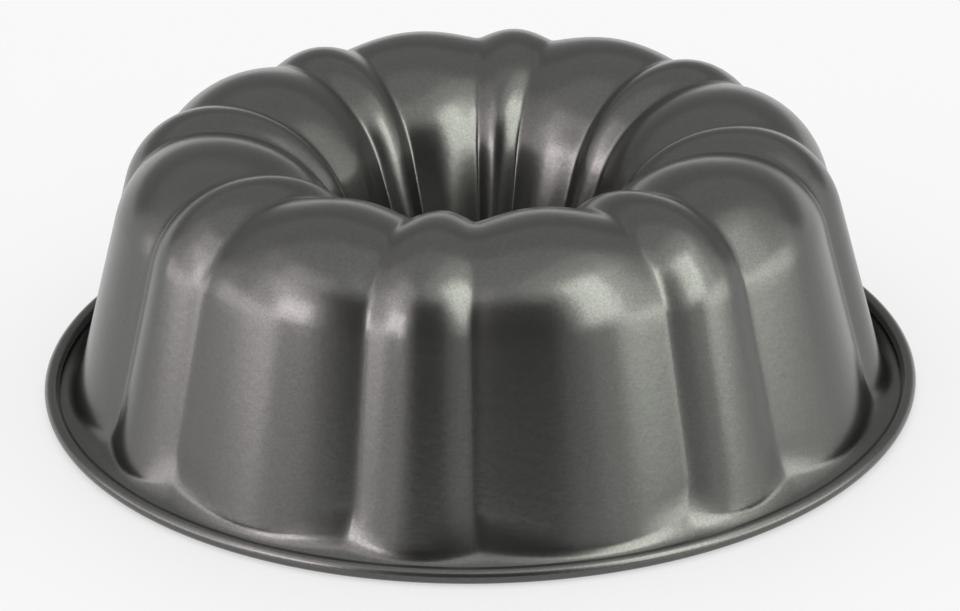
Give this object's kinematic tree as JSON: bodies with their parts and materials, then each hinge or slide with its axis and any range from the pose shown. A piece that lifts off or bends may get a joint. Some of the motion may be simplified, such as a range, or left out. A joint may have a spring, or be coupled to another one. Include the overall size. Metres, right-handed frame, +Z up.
{
  "type": "ring cake mould",
  "caption": "Fluted ring cake mould pressed from coated steel sheet, with a centre tube and a rolled, wired rim, standing upside down on that rim.",
  "frame": {"origin": "centre of the circle that the rolled rim rests on", "axes": "+Z up along the ring's axis, from the rim to the crown; -Y through the middle of a small lobe"},
  "size_m": [0.26, 0.26, 0.0784],
  "materials": {
    "nonstick_coating": "satin grey non-stick coating with a fine metallic grain",
    "bare_wire": "drawn steel wire"
  },
  "bodies": {
    "root": {"fluted_shell": "nonstick_coating", "rim_wire": "bare_wire"}
  },
  "joints": []
}
